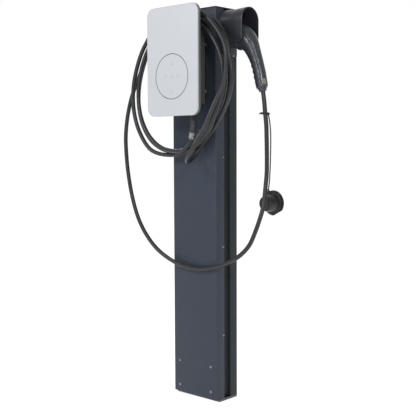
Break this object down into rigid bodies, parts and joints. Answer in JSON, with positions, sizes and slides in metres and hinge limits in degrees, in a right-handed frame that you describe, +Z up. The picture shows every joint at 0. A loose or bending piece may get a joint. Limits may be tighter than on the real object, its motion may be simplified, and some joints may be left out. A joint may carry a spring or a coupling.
{
  "type": "ev charging post",
  "caption": "Free-standing metal post with a wall charger on its front, a black charging lead hung round it and a connector parked in a side holster",
  "frame": {"origin": "centre of the post's outline, on the floor it stands on", "axes": "+Z up; -Y the post's front, where the charger is; +X the post's right side, seen from the front, where the holster is"},
  "size_m": [0.596, 0.227, 1.3],
  "materials": {
    "front_paint": "anthracite powder coat, fine texture",
    "rear_paint": "anthracite powder coat, fine texture",
    "base_paint": "dark powder coat, scuffed",
    "zinc_steel": "zinc plated",
    "bright_steel": "stainless, machined",
    "panel_plastic": "pale grey, satin",
    "frame_plastic": "grey green, matte",
    "housing_plastic": "black, fine grain",
    "holster_plastic": "black, fine grain",
    "handle_plastic": "dark grey, soft sheen",
    "seal_rubber": "matte",
    "cable_rubber": "matte with a soft sheen",
    "cap_rubber": "matte",
    "brass_metal": "plated",
    "board_green": "solder mask",
    "device_plastic": "pale grey",
    "terminal_plastic": "green",
    "sensor_plastic": "dark blue",
    "ring_lens": "smoked light guide",
    "icon_lens": "grey light guide",
    "label_film": "plain pale film"
  },
  "bodies": {
    "post": {"base_plate": "base_paint", "rear_profile": "rear_paint", "front_cover": "front_paint", "top_cap": "rear_paint", "foot_bracket": "zinc_steel", "foot_screws": "bright_steel", "cover_clips": "zinc_steel", "side_screws": "bright_steel", "mounting_rail": "zinc_steel", "supply_terminals": "device_plastic", "circuit_breaker": "device_plastic", "earth_stud": "brass_metal", "charger_lead": "cable_rubber", "lead_grommet": "seal_rubber", "charger_bracket": "housing_plastic", "bracket_screws": "zinc_steel", "rear_housing": "housing_plastic", "panel_frame": "frame_plastic", "panel_seal": "seal_rubber", "front_panel": "panel_plastic", "status_ring": "ring_lens", "status_icons": "icon_lens", "status_board": "board_green", "power_board": "board_green", "contactor": "device_plastic", "current_sensor": "sensor_plastic", "output_terminals": "terminal_plastic", "frame_screws": "zinc_steel", "gland_body": "housing_plastic", "gland_locknut": "housing_plastic", "cable_sleeve": "cap_rubber", "sleeve_collar": "bright_steel", "cable_lead": "cable_rubber", "cable_coil": "cable_rubber", "cable_bight": "cable_rubber", "cable_loop": "cable_rubber", "holster_plate": "holster_plastic", "holster_hood": "holster_plastic", "holster_socket": "holster_plastic", "holster_screws": "zinc_steel"},
    "connector": {"handle_left": "handle_plastic", "handle_right": "handle_plastic", "plug_shroud": "handle_plastic", "plug_insert": "holster_plastic", "plug_contacts": "brass_metal", "plug_seal": "seal_rubber", "handle_screws": "zinc_steel", "strain_nut": "handle_plastic", "handle_label": "label_film", "cable_drop": "cable_rubber", "tie_ring": "cap_rubber"},
    "cap": {"cap_cup": "cap_rubber", "cap_strap": "cap_rubber", "strap_rivet": "zinc_steel"}
  },
  "joints": [
    {"name": "connector_pull", "type": "slide", "parent": "post", "child": "connector", "axis": [1, 0, 0], "range_m": [0, 0.06]},
    {"name": "cap_swing", "type": "hinge", "parent": "connector", "child": "cap", "pos_m": [0.2605, 0.0125, 0.953], "axis": [0, -1, 0], "range_deg": [0, 45]}
  ]
}
